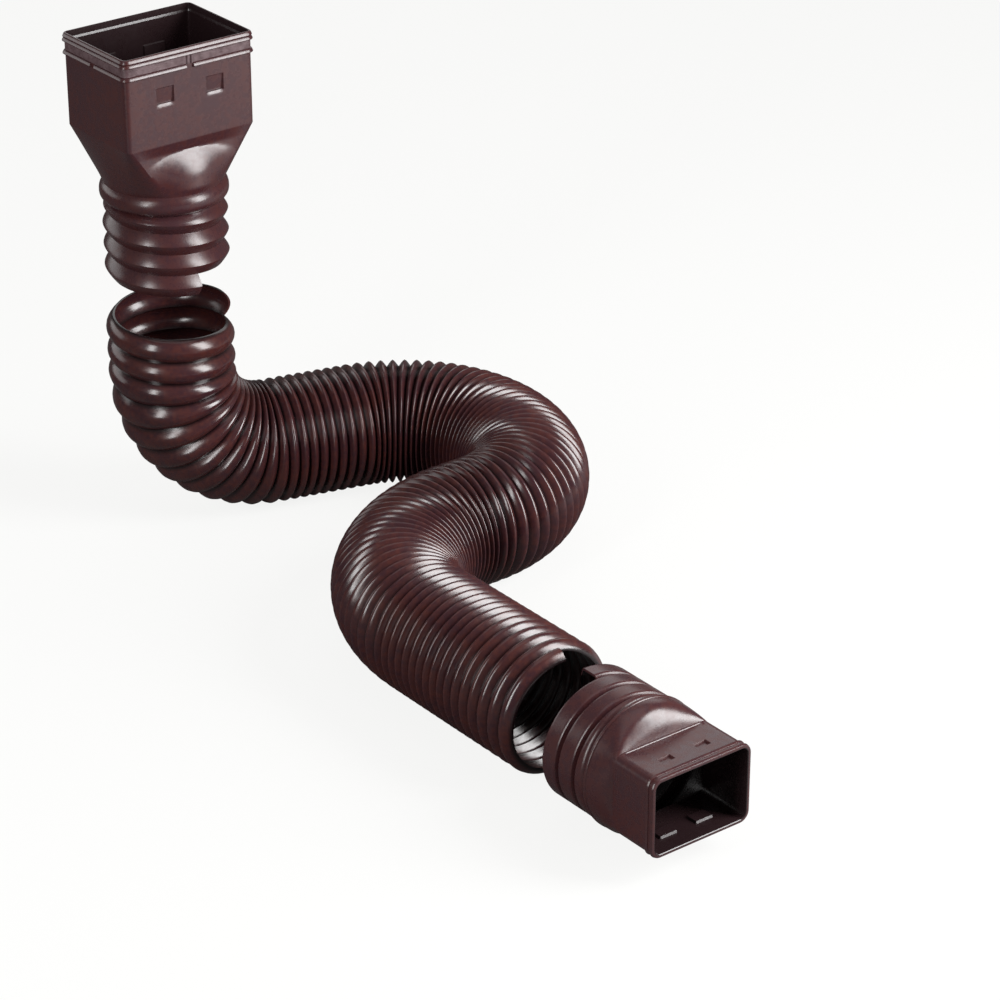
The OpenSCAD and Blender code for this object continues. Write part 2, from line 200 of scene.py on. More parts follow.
class Layout:
    """Radii and places that follow from the sizes, in metres."""

    def __init__(self, scene):
        hose, route, fit = scene.downspout_hose, scene.downspout_route, scene.downspout_fit
        socket, outlet = scene.downspout_socket, scene.downspout_outlet
        self.crest_r = hose.diameter / 2
        self.root_r = self.crest_r - hose.ridge_depth
        self.thread_crest_r = self.crest_r - hose.wall - fit.clearance
        self.thread_root_r = self.root_r - hose.wall - fit.clearance
        self.bead_r = self.thread_crest_r + fit.bead_proud
        self.neck_r = self.bead_r - socket.neck_step
        self.route = route
        self.back_heading = -math.pi
        self.out_heading = -math.pi / 2
        self.u_angle = route.run_heading - self.back_heading
        self.out_angle = self.out_heading - self.back_heading
        self.bend_end = route.drop_len + route.drop_bend_r * math.pi / 2
        self.run_end = self.bend_end + route.run_len
        self.u_end = self.run_end + route.u_bend_r * self.u_angle
        self.back_end = self.u_end + route.back_len
        self.out_end = self.back_end + route.out_bend_r * self.out_angle
        self.hose_len = self.out_end + route.last_len
        self.run_at = route.drop_bend_r * level(route.run_heading)
        self.u_mid = (self.run_at + route.run_len * level(route.run_heading)
                      + route.u_bend_r * level(route.run_heading - math.pi / 2))
        self.back_at = self.u_mid + route.u_bend_r * level(self.back_heading + math.pi / 2)
        self.out_mid = (self.back_at + route.back_len * level(self.back_heading)
                        + route.out_bend_r * level(self.back_heading + math.pi / 2))
        self.last_at = self.out_mid + route.out_bend_r * level(self.out_heading - math.pi / 2)
        self.mouth_at = self.last_at + route.last_len * level(self.out_heading)
        self.mouth_z = self.crest_r + route.drop_bend_r + route.drop_len
        self.tip_z = self.mouth_z + fit.screw_gap
        self.upper_len = socket.thread_h + socket.bead_h + socket.funnel_h + socket.height
        self.lower_len = outlet.thread_h + outlet.collar_h + outlet.dome_h + outlet.height
        out_x = socket.width / 2 + fit.wall + socket.rim_proud
        out_y = socket.depth / 2 + fit.wall + socket.rim_proud
        reach_x = max(self.crest_r, out_x)
        low = Vector((min(-reach_x, self.last_at.x - self.crest_r),
                      self.mouth_at.y - fit.screw_gap - self.lower_len, 0))
        high = Vector((max(self.u_mid.x + route.u_bend_r + self.crest_r, reach_x),
                       max(self.crest_r, out_y), 0))
        self.middle = (low + high) / 2
        self.socket_place = Matrix.Translation(Vector((0, 0, self.tip_z)) - self.middle)
        outlet_at = Vector((self.last_at.x, self.mouth_at.y - fit.screw_gap, self.crest_r))
        self.outlet_place = (Matrix.Translation(outlet_at - self.middle)
                             @ Matrix.Rotation(math.pi / 2, 4, "X"))

    def along(self, s):
        """Point and heading of the centreline at distance s."""
        route = self.route
        up = Vector((0, 0, 1))
        start = route.run_heading
        if s < route.drop_len:
            return up * (self.mouth_z - s), start
        if s < self.bend_end:
            a = (s - route.drop_len) / route.drop_bend_r
            return (route.drop_bend_r * (1 - math.cos(a)) * level(start)
                    + up * (self.crest_r + route.drop_bend_r * (1 - math.sin(a)))), start
        if s < self.run_end:
            point, heading = self.run_at + (s - self.bend_end) * level(start), start
        elif s < self.u_end:
            heading = start - (s - self.run_end) / route.u_bend_r
            point = self.u_mid + route.u_bend_r * level(heading + math.pi / 2)
        elif s < self.back_end:
            heading = self.back_heading
            point = self.back_at + (s - self.u_end) * level(heading)
        elif s < self.out_end:
            heading = self.back_heading + (s - self.back_end) / route.out_bend_r
            point = self.out_mid + route.out_bend_r * level(heading - math.pi / 2)
        else:
            heading = self.out_heading
            point = self.last_at + (s - self.out_end) * level(heading)
        return point + up * self.crest_r, heading


def level(heading):
    """Horizontal direction at a heading."""
    return Vector((math.cos(heading), math.sin(heading), 0))


# Nodes

def used(node):
    """The first output of a node that is in use."""
    return next(s for s in node.outputs if s.enabled)


def add(tree, kind, inputs=None, **settings):
    """Adds a node with its settings, and sets its inputs or links them to others."""
    node = tree.nodes.new(kind)
    for key, value in settings.items():
        setattr(node, key, value)
    for key, value in (inputs or {}).items():
        if isinstance(key, int):
            socket = node.inputs[key]
        else:
            socket = next(s for s in node.inputs if s.name == key and s.enabled)
        if isinstance(value, bpy.types.Node):
            value = used(value)
        if isinstance(value, bpy.types.NodeSocket):
            tree.links.new(value, socket)
        else:
            socket.default_value = value
    return node


def new_material(name):
    """An empty node material."""
    made = bpy.data.materials.new(name)
    made.use_nodes = True
    made.node_tree.nodes.clear()
    return made


def moulded_plastic(name, base, warm, rough, texture=None, grooves=None):
    """Glossy moulded polyolefin, warmer in clouds where the regrind in it shows.

    Its skin is smooth with a faint orange peel from the mould. texture is the
    height of a spark-eroded grain. grooves is the colour of painted shade where
    the lift is 0, low on the hose's ridges and on the adapters' inner faces.
    """
    made = new_material(name)
    tree = made.node_tree
    place = add(tree, "ShaderNodeTexCoord").outputs["Object"]
    # Clouds of about 35 mm, and a mottle of about 4 mm inside them
    clouds = add(tree, "ShaderNodeTexNoise", {
        "Vector": place, "Scale": 1 / (35 * MM), "Detail": 3.0, "Roughness": 0.6})
    mottle = add(tree, "ShaderNodeTexNoise", {
        "Vector": place, "Scale": 1 / (4 * MM), "Detail": 2.0, "Roughness": 0.5})
    mixed = add(tree, "ShaderNodeMath", {0: clouds, 1: mottle}, operation="ADD")
    share = add(tree, "ShaderNodeMapRange", {
        "Value": mixed, "From Min": 0.8, "From Max": 1.25})
    body = add(tree, "ShaderNodeMix", {
        "Factor": share, "A": tuple(base), "B": tuple(warm)}, data_type="RGBA")
    # Painted shade: the colour darkens towards grooves where the lift is low
    if grooves is not None:
        lift = add(tree, "ShaderNodeAttribute", attribute_name="lift").outputs["Fac"]
        shade = add(tree, "ShaderNodeMapRange", {
            "Value": lift, "From Min": 0.0, "From Max": 0.45})
        body = add(tree, "ShaderNodeMix", {
            "Factor": shade, "A": tuple(grooves), "B": body}, data_type="RGBA")
    worn = add(tree, "ShaderNodeMapRange", {
        "Value": mixed, "From Min": 0.75, "From Max": 1.3,
        "To Min": rough - 0.03, "To Max": rough + 0.05})
    # Orange peel with a swell every 2.5 mm, a few hundredths of a millimetre high
    peel = add(tree, "ShaderNodeTexNoise", {
        "Vector": place, "Scale": 1 / (2.5 * MM), "Detail": 1.0})
    skin = add(tree, "ShaderNodeBump", {
        "Strength": 0.25, "Distance": 0.04 * MM, "Height": peel})
    if texture:
        # Spark-eroded grain, drawn with a spark every 1.1 mm so that it shows
        grain = add(tree, "ShaderNodeTexNoise", {
            "Vector": place, "Scale": 1 / (1.1 * MM), "Detail": 2.0})
        skin = add(tree, "ShaderNodeBump", {
            "Strength": 1.0, "Distance": texture, "Height": grain, "Normal": skin})
    shader = add(tree, "ShaderNodeBsdfPrincipled", {
        "Base Color": body, "Roughness": worn, "IOR": 1.5, "Normal": skin})
    add(tree, "ShaderNodeOutputMaterial", {"Surface": shader})
    return made


# Hose

# Sums that wind the hose: what each gives, and its steps. A step is an operation
# with what it takes: the step before it, then inputs, earlier sums or numbers
SUMS = (
    # Turns in the stretch at each mouth, where the spacing grows evenly, and in all
    ("top rate", ("SUBTRACT", "Run Pitch", "Top Pitch"), ("DIVIDE", "Top Stretch")),
    ("top turns", ("DIVIDE", "Run Pitch", "Top Pitch"), ("LOGARITHM", math.e),
     ("DIVIDE", "top rate")),
    ("low rate", ("SUBTRACT", "Low Pitch", "Run Pitch"), ("DIVIDE", "Low Stretch")),
    ("low turns", ("DIVIDE", "Low Pitch", "Run Pitch"), ("LOGARITHM", math.e),
     ("DIVIDE", "low rate")),
    ("stretched", ("ADD", "Top Stretch", "Low Stretch")),
    ("even turns", ("SUBTRACT", "whole", "stretched"), ("DIVIDE", "Run Pitch")),
    ("upper turns", ("ADD", "top turns", "even turns")),
    ("all turns", ("ADD", "upper turns", "low turns")),
    ("whole turns", ("ROUND", "all turns")),
    # Size of the flat grid, and the place of each point in it
    ("columns", ("SUBTRACT", "whole turns", 1.0), ("MULTIPLY", "Facets"), ("ADD", 1.0)),
    ("per column", ("ADD", "Ridge Rows", 1.0)),
    ("column", ("ADD", "index", 0.5), ("DIVIDE", "per column"), ("FLOOR",)),
    ("passed", ("MULTIPLY", "column", "per column")),
    ("share", ("SUBTRACT", "index", "passed"), ("DIVIDE", "Ridge Rows")),
    ("wound", ("DIVIDE", "column", "Facets")),
    ("scale", ("DIVIDE", "all turns", "whole turns")),
    ("turn", ("ADD", "wound", "share"), ("MULTIPLY", "scale")),
    # Distance along the route at that turn
    ("top done", ("MINIMUM", "turn", "top turns")),
    ("even done", ("SUBTRACT", "turn", "top turns"), ("MAXIMUM", 0.0),
     ("MINIMUM", "even turns")),
    ("low done", ("SUBTRACT", "turn", "upper turns"), ("MAXIMUM", 0.0)),
    ("top base", ("DIVIDE", "Top Pitch", "top rate")),
    ("top way", ("MULTIPLY", "top rate", "top done"), ("EXPONENT",), ("SUBTRACT", 1.0),
     ("MULTIPLY", "top base")),
    ("low base", ("DIVIDE", "Run Pitch", "low rate")),
    ("low way", ("MULTIPLY", "low rate", "low done"), ("EXPONENT",), ("SUBTRACT", 1.0),
     ("MULTIPLY", "low base")),
    ("distance", ("MULTIPLY", "even done", "Run Pitch"), ("ADD", "top way"),
     ("ADD", "low way")),
    # Left-handed angle about the centreline
    ("swept", ("MULTIPLY", "wound", math.tau)),
    ("angle", ("SUBTRACT", "Mouth Step", "swept")),
    ("sideways", ("COSINE", "angle")),
    ("upwards", ("SINE", "angle")),
    # Height on the ridge, from 0 in the groove to 1 on its crest: stretched
    # turns are round lobes, and closed ones have straight flanks and a tight crest
    ("low start", ("SUBTRACT", "whole", "Low Stretch")),
    ("top spacing", ("MAP_RANGE", "distance", 0.0, "Top Stretch", "Top Pitch", "Run Pitch")),
    ("low spacing", ("MAP_RANGE", "distance", "low start", "whole", "Run Pitch", "Low Pitch")),
    ("bend", ("MAXIMUM", "top spacing", "low spacing"), ("DIVIDE", "Run Pitch"),
     ("POWER", 3.0), ("MULTIPLY", "Ridge Round")),
    ("middle", ("MULTIPLY", "share", 2.0), ("SUBTRACT", 1.0), ("ABSOLUTE",),
     ("POWER", 2.0)),
    ("drop", ("MULTIPLY_ADD", "bend", "bend", "middle"), ("SQRT",), ("SUBTRACT", "bend")),
    ("whole drop", ("MULTIPLY_ADD", "bend", "bend", 1.0), ("SQRT",), ("SUBTRACT", "bend")),
    ("fallen", ("DIVIDE", "drop", "whole drop")),
    ("lift", ("SUBTRACT", 1.0, "fallen")),
    # Radii of the wall, from the lift that the mesh keeps
    ("groove", ("SUBTRACT", "Outside Radius", "Ridge Depth")),
    ("outer radius", ("MULTIPLY", "kept lift", "Ridge Depth"), ("ADD", "groove")),
    ("inner radius", ("SUBTRACT", "outer radius", "Wall")),
    ("inwards", ("MULTIPLY", "Wall", -1.0)),
)


def hose_tree(material, sizes):
    """Geometry nodes that wind the hose's wall along its route."""
    tree = bpy.data.node_groups.new("Wound hose", "GeometryNodeTree")
    face = tree.interface
    face.new_socket("Geometry", in_out="INPUT", socket_type="NodeSocketGeometry")
    face.new_socket("Geometry", in_out="OUTPUT", socket_type="NodeSocketGeometry")
    for name in sizes:
        face.new_socket(name, in_out="INPUT", socket_type="NodeSocketFloat")
    known = {socket.name: socket for socket in add(tree, "NodeGroupInput").outputs}
    route = add(tree, "GeometryNodeMeshToCurve", {"Mesh": known["Geometry"]})
    known["whole"] = add(tree, "GeometryNodeCurveLength", {"Curve": route})
    known["index"] = add(tree, "GeometryNodeInputIndex")
    # The points change their numbers on the way, so the mesh keeps these
    kinds = {"centre": "FLOAT_VECTOR", "out": "FLOAT_VECTOR", "lift": "FLOAT"}
    for name, kind in kinds.items():
        known["kept " + name] = add(tree, "GeometryNodeInputNamedAttribute",
                                    {"Name": name}, data_type=kind)
    for name, *steps in SUMS:
        last = []
        for operation, *values in steps:
            takes = dict(enumerate(last + [known.get(value, value) for value in values]))
            if operation == "MAP_RANGE":
                last = [add(tree, "ShaderNodeMapRange", takes)]
            else:
                last = [add(tree, "ShaderNodeMath", takes, operation=operation)]
        known[name] = last[0]

    # The centreline at each point of the grid, and the way out from it
    beside = add(tree, "GeometryNodeInputNamedAttribute", {"Name": "side"},
                 data_type="FLOAT_VECTOR")
    side = add(tree, "GeometryNodeSampleCurve", {
        "Curves": route, "Value": beside, "Length": known["distance"]},
        mode="LENGTH", data_type="FLOAT_VECTOR", use_all_curves=False)
    known["centre"] = side.outputs["Position"]
    up = add(tree, "ShaderNodeVectorMath", {0: side.outputs["Tangent"], 1: side},
             operation="CROSS_PRODUCT")
    parts = [add(tree, "ShaderNodeVectorMath", {0: way, "Scale": known[name]},
                 operation="SCALE") for way, name in ((side, "sideways"), (up, "upwards"))]
    known["out"] = add(tree, "ShaderNodeVectorMath", dict(enumerate(parts)), operation="ADD")
    mesh = add(tree, "GeometryNodeMeshGrid", {
        "Vertices X": known["columns"], "Vertices Y": known["per column"]})
    for name, kind in kinds.items():
        mesh = add(tree, "GeometryNodeStoreNamedAttribute", {
            "Geometry": mesh, "Name": name, "Value": known[name]},
            data_type=kind, domain="POINT")
    outwards, places = {}, {}
    for radius in ("outer radius", "inner radius", "inwards"):
        outwards[radius] = add(tree, "ShaderNodeVectorMath", {
            0: known["kept out"], "Scale": known[radius]}, operation="SCALE")
        places[radius] = add(tree, "ShaderNodeVectorMath", {
            0: known["kept centre"], 1: outwards[radius]}, operation="ADD")
    outer = add(tree, "GeometryNodeSetPosition", {
        "Geometry": mesh, "Position": places["outer radius"]})
    outer = add(tree, "GeometryNodeMergeByDistance", {"Geometry": outer, "Distance": TOUCH})

    # The inner face and the cut edges come from pushing the wall inwards
    shell = add(tree, "GeometryNodeExtrudeMesh", {
        "Mesh": outer, "Offset": outwards["inwards"], "Offset Scale": 1.0,
        "Individual": False}, mode="FACES")
    inner = add(tree, "GeometryNodeSetPosition", {
        "Geometry": shell, "Selection": shell.outputs["Top"],
        "Position": places["inner radius"]})
    flipped = add(tree, "GeometryNodeFlipFaces", {"Mesh": outer})
    both = add(tree, "GeometryNodeJoinGeometry", {"Geometry": flipped})
    tree.links.new(used(inner), both.inputs[0])
    closed = add(tree, "GeometryNodeMergeByDistance", {"Geometry": both, "Distance": TOUCH})
    real = add(tree, "GeometryNodeRealizeInstances", {"Geometry": closed})
    done = add(tree, "GeometryNodeSetMaterial", {"Geometry": real, "Material": material})
    add(tree, "NodeGroupOutput", {"Geometry": done})
    return tree


def route_mesh(plan):
    """Polyline of the centreline, which carries the way to its side."""
    gap = 2 * MM
    count = math.ceil(plan.hose_len / gap)
    points, sides = [], []
    for i in range(count + 1):
        point, heading = plan.along(min(i * plan.hose_len / count, plan.hose_len))
        points.append(point - plan.middle)
        sides.extend((-math.sin(heading), math.cos(heading), 0.0))
    mesh = bpy.data.meshes.new("hose_route")
    mesh.from_pydata(points, [(i, i + 1) for i in range(count)], [])
    side = mesh.attributes.new("side", "FLOAT_VECTOR", "POINT")
    side.data.foreach_set("vector", sides)
    return mesh


def finish_mesh(mesh, sharp):
    """Smooth shading with sharp edges where faces turn by more than sharp."""
    mesh.shade_smooth()
    mesh.set_sharp_from_angle(angle=math.radians(sharp))


def link_piece(name, mesh, node):
    """Adds a piece that stands for a node of the frame."""
    piece = bpy.data.objects.new(name, mesh)
    bpy.context.scene.collection.objects.link(piece)
    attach(piece, "root")
    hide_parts(node)
    return piece


class DOWNSPOUT_OT_hose(bpy.types.Operator):
    """Winds the corrugated hose along its route"""
    bl_idname = "downspout.hose"
    bl_label = "Corrugated hose"

    def execute(self, context):
        scene = context.scene
        sizes, look = scene.downspout_hose, scene.downspout_finish
        plan = Layout(scene)
        # The hose's grooves are darkened with painted shade in the groove colour
        plastic = moulded_plastic("blow_moulded_polyethylene", look.hose,
                                  look.hose_warm, 0.21, grooves=look.groove)
        guide = bpy.data.objects.new("hose_route", route_mesh(plan))
        scene.collection.objects.link(guide)
        winding = guide.modifiers.new("Wound hose", "NODES")
        # Every size but the diameter is an input of the tree under its own name
        values = {"Outside Radius": plan.crest_r - CREST_EASE}
        for key in list(HoseSizes.__annotations__)[1:]:
            values[key.replace("_", " ").title()] = float(getattr(sizes, key))
        winding.node_group = hose_tree(plastic, values)
        for socket in winding.node_group.interface.items_tree:
            if socket.in_out == "INPUT" and socket.name in values:
                winding[socket.identifier] = values[socket.name]
        graph = context.evaluated_depsgraph_get()
        mesh = bpy.data.meshes.new_from_object(
            guide.evaluated_get(graph), preserve_all_data_layers=True, depsgraph=graph)
        bpy.data.objects.remove(guide)
        mesh.name = "corrugated_hose_skin"
        for name in ("centre", "out", "side"):
            if name in mesh.attributes:
                mesh.attributes.remove(mesh.attributes[name])
        finish_mesh(mesh, sharp=50)
        lift = [0.0] * len(mesh.vertices)
        mesh.attributes["lift"].data.foreach_get("value", lift)
        for edge in mesh.edges:
            if min(lift[i] for i in edge.vertices) > 0.99:  # A crest stays smooth
                edge.use_edge_sharp = False
        link_piece("corrugated_hose_skin", mesh, "corrugated_hose")
        return {"FINISHED"}


# Adapters

def adapter_plastic(look):
    """The plastic that both adapters are moulded in."""
    name = "injection_moulded_polypropylene"
    # Its inner faces are darkened with painted shade in the inside colour
    return bpy.data.materials.get(name) or moulded_plastic(
        name, look.adapter, look.adapter_warm, 0.27, grooves=look.inside)


def spaced(marks, widest):
    """The marks in order, with even ones between those that are too far apart."""
    marks = sorted(set(round(m, 7) for m in marks))
    filled = []
    for a, b in zip(marks, marks[1:]):
        parts = max(1, math.ceil((b - a) / widest))
        filled += [a + (b - a) * i / parts for i in range(parts)]
    return filled + [marks[-1]]


def rounded_columns(width, depth, corner, across, upward, steps=8):
    """Columns round a rounded rectangle, counter-clockwise.

    Each is a point, the way out there, and its angle on a funnel's round end.
    """
    run, side = width / 2 - corner, depth / 2 - corner
    third = math.pi / 6
    ways = [Vector(way) for way in ((1, 0), (0, 1), (-1, 0), (0, -1))]
    columns = []
    for quarter, out in enumerate(ways):
        ahead = ways[(quarter + 1) % 4]
        start = quarter * math.pi / 2
        half, end, marks = ((width / 2, side, upward), (depth / 2, run, across))[quarter % 2]
        if quarter in (1, 2):
            marks = [-mark for mark in reversed(marks)]
        columns += [(out * half + ahead * mark, out, start + third * mark / end)
                    for mark in marks]
        centre = out * (half - corner) + ahead * end
        for i in range(1, steps):
            a = (quarter + i / steps) * math.pi / 2
            way = Vector((math.cos(a), math.sin(a)))
            columns.append((centre + corner * way, way, start + third * (1 + i / steps)))
    return columns


def near(value, low, high):
    """Whether a value is between two others or touches one of them."""
    return low - TOUCH <= value <= high + TOUCH


def dimple_marks(size, slope):
    """Marks across a long side at the foot, edge and surround of its dimples."""
    return [s * (size.dimple_x + t * (size.dimple_w / 2 + d)) for s in (-1, 1)
            for t in (-1, 1) for d in (-slope, 0, DIMPLE_EDGE, DIMPLE_GROWTH)]


def ring(bm, columns, z, share, radius, out=0.0, relief=None):
    """One ring of points: round where share is 0, rectangular where it is 1."""
    made = []
    for point, way, turn in columns:
        shift = relief(point, way, z, out) if relief else out
        box = point + way * shift
        spot = (1 - share) * radius * Vector((math.cos(turn), math.sin(turn))) + share * box
        made.append(bm.verts.new((spot.x, spot.y, z)))
    return made


def bridge(bm, low, high):
    """Faces between two rings with as many points."""
    count = len(low)
    return [bm.faces.new((low[i], low[(i + 1) % count], high[(i + 1) % count], high[i]))
            for i in range(count)]


def by_angle(ring_verts):
    """Points of a ring in order of their angle, with the first once more at the end."""
    order = sorted((math.atan2(v.co.y, v.co.x), i, v) for i, v in enumerate(ring_verts))
    turn, first, vert = order[0]
    return order + [(turn + math.tau, first, vert)]


def zip_rings(bm, low, high):
    """Triangles between two round rings whose points don't match."""
    a, b = by_angle(low), by_angle(high)
    while len(a) > 1 or len(b) > 1:
        on_low = len(b) == 1 or (len(a) > 1 and a[1][0] <= b[1][0])
        ahead = a[1][2] if on_low else b[1][2]
        bm.faces.new((a[0][2], ahead, b[0][2]))
        (a if on_low else b).pop(0)


def wound_thread(bm, plan, fit, height, step, slope, shape):
    """Threaded end with its tip at height 0, cut level at a height.

    The thread is left-handed, and its tip is cut along the groove, so it ends
    in one step. Returns the level rings of the outer and the inner face.
    """
    facets, rows, pitch = fit.thread_facets, fit.thread_rows, fit.thread_pitch
    spare = 0.3  # In turns, past the height of the level cut
    turns = math.ceil((height / pitch + spare) * facets) / facets
    last = round(turns * facets)
    fade = 5 * MM
    ramp = min(1.0, 2 * slope / pitch)
    sides = []
    for inset in (0.0, fit.wall):
        verts = {}
        for m in range(last + facets + 1):
            for k in range(rows if m <= last else 1):
                t = m / facets + k / rows
                z = (turns + 1 - t) * pitch
                rest = min(max((height - z) / fade, 0.0), 1.0)
                climbed = min(1.0, (1 - abs(2 * k / rows - 1)) / ramp)
                lift = (1 - (1 - climbed) ** shape) * math.sqrt(1 - (1 - rest) ** 2)
                r = (plan.thread_root_r - inset
                     + (plan.thread_crest_r - plan.thread_root_r) * lift)
                a = step + (m - last) * math.tau / facets
                verts[m, k] = bm.verts.new((r * math.cos(a), r * math.sin(a), z))
            if m >= facets:
                verts[m - facets, rows] = verts[m, 0]
        for m in range(last):
            for k in range(rows):
                quad = (verts[m, k], verts[m + 1, k], verts[m + 1, k + 1], verts[m, k + 1])
                bm.faces.new(quad if inset else quad[::-1])
        sides.append(verts)
    outer, inner = sides
    for m in range(last - 1, last - facets - 1, -1):
        if m + facets >= last:
            bm.faces.new((outer[m + 1, rows], outer[m, rows], inner[m, rows], inner[m + 1, rows]))
    for k in range(rows):
        bm.faces.new((outer[last, k], outer[last, k + 1], inner[last, k + 1], inner[last, k]))
    bmesh.ops.bisect_plane(
        bm, geom=bm.verts[:] + bm.edges[:] + bm.faces[:], dist=0.0001 * MM,
        plane_co=(0, 0, height), plane_no=(0, 0, 1), clear_outer=True)
    split_r = plan.thread_root_r - fit.wall / 2
    edge = [v for v in bm.verts if any(e.is_boundary for e in v.link_edges)]
    return ([v for v in edge if v.co.xy.length > split_r],
            [v for v in edge if v.co.xy.length <= split_r])


def rounded_rib(low, high, proud):
    """Rows of a rib with a sloping top, as heights and how far each stands out."""
    steps = ((0.0, 0.0), (0.03, 0.5), (0.09, 0.85), (0.17, 0.98), (0.25, 1.0),
             (0.34, 0.96), (0.84, 0.56), (0.95, 0.36), (1.0, 0.0))
    return [(low + (high - low) * a, proud * b) for a, b in steps]


def lathe_adapter(name, plan, fit, size, columns, outer, inner, band=None):
    """Mesh of an adapter: its threaded end, then its rings up and back down.

    outer and inner are rows of (height, share, radius, out, relief). Faces
    between two heights of band take the second material.
    """
    bm = bmesh.new()
    outer_edge, inner_edge = wound_thread(
        bm, plan, fit, size.thread_h, size.step, size.slope, size.ridge_shape)
    rings = [ring(bm, columns, *row) for row in outer + inner]
    zip_rings(bm, outer_edge, rings[0])
    for i, (low, high) in enumerate(zip(rings, rings[1:])):
        faces = bridge(bm, low, high)
        if band and i + 1 < len(outer) and band[0] <= outer[i][0] and outer[i + 1][0] <= band[1]:
            for made in faces:
                made.material_index = 1
    zip_rings(bm, rings[-1], inner_edge)
    mesh = bpy.data.meshes.new(name)
    bm.to_mesh(mesh)
    bm.free()
    # 1 on the faces that look away from the axis, 0 on the inner ones, which the material darkens
    # with painted shade
    mesh.attributes.new("lift", "FLOAT", "POINT").data.foreach_set("value", [
        float(v.normal.xy.dot(v.co.xy) > -0.1 * v.co.xy.length) for v in mesh.vertices])
    finish_mesh(mesh, sharp=32)
    return mesh


